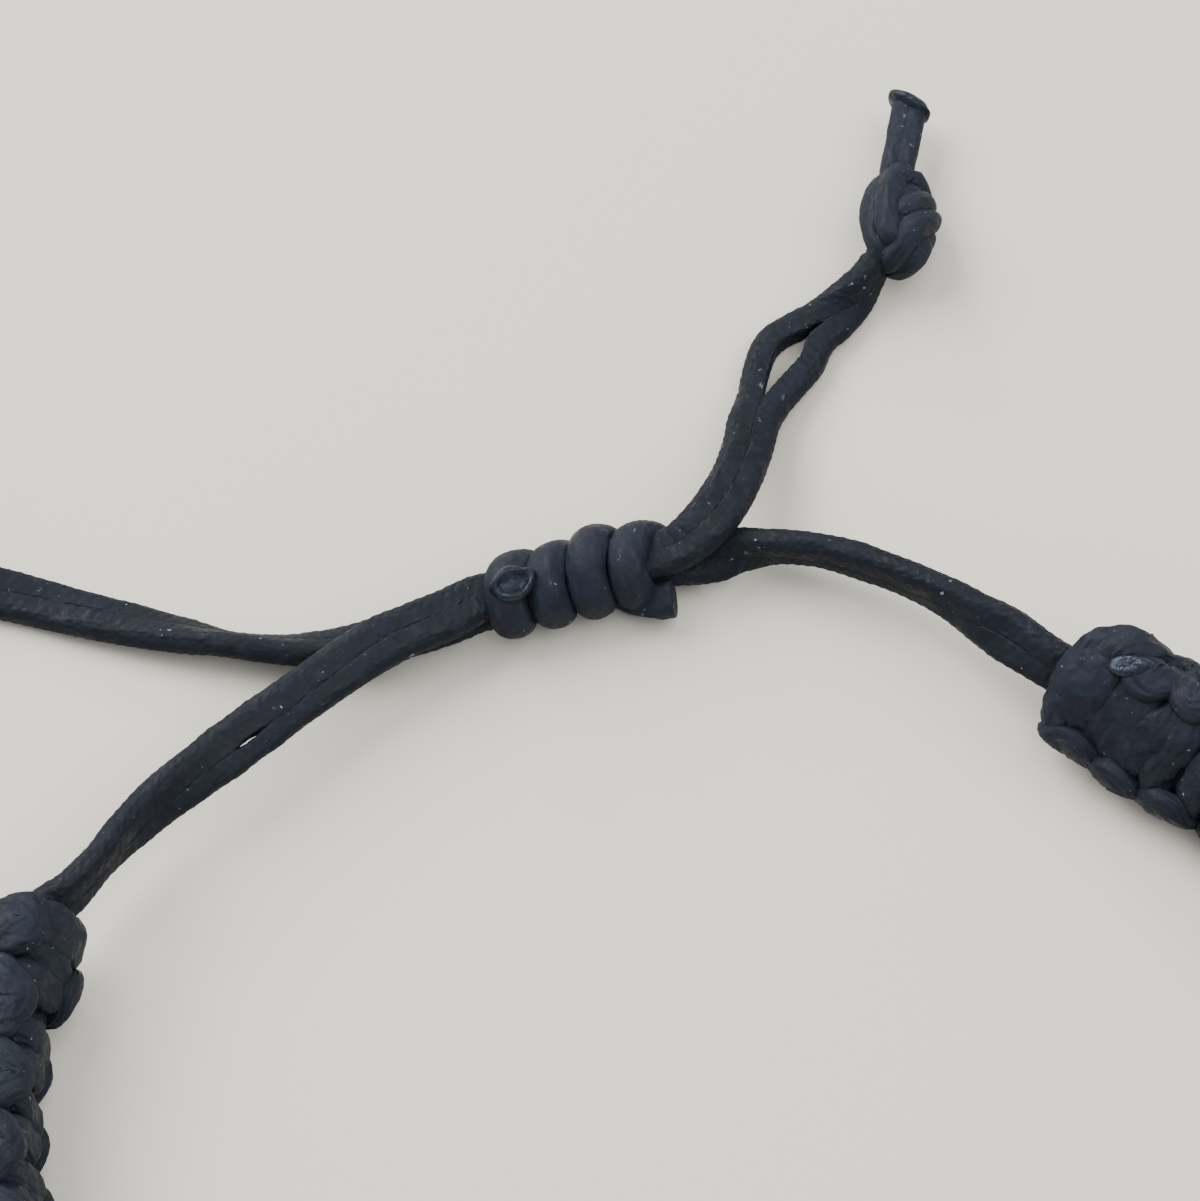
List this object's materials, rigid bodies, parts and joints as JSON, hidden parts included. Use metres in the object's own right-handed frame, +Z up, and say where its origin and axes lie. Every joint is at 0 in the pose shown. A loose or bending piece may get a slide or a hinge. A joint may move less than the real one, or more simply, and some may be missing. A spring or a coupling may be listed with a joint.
{
  "type": "cord bracelet",
  "caption": "Adjustable cord bracelet: a loop of square-knotted waxed cord, closed by a sliding wrapped knot on two pairs of knotted tails.",
  "frame": {"origin": "centre of the loop, on the surface that the bracelet lies on", "axes": "+Z up, along the axis of the wrist; the sliding knot is on the +Y side; the right-hand tail points to +Y and the left-hand tail to -X"},
  "size_m": [0.0751, 0.0847, 0.0065],
  "materials": {
    "band_cord": "waxed braided cord, knotted, soft sheen",
    "closure_cord": "waxed braided cord, soft sheen",
    "knot_cord": "waxed braided cord with melted, glossy cut ends"
  },
  "bodies": {
    "root": {"band": "band_cord", "left_cord_outer": "closure_cord", "left_cord_inner": "closure_cord", "right_cord_outer": "closure_cord", "right_cord_inner": "closure_cord", "sliding_knot": "knot_cord", "right_end_knot": "knot_cord", "left_end_knot": "knot_cord"}
  },
  "joints": []
}
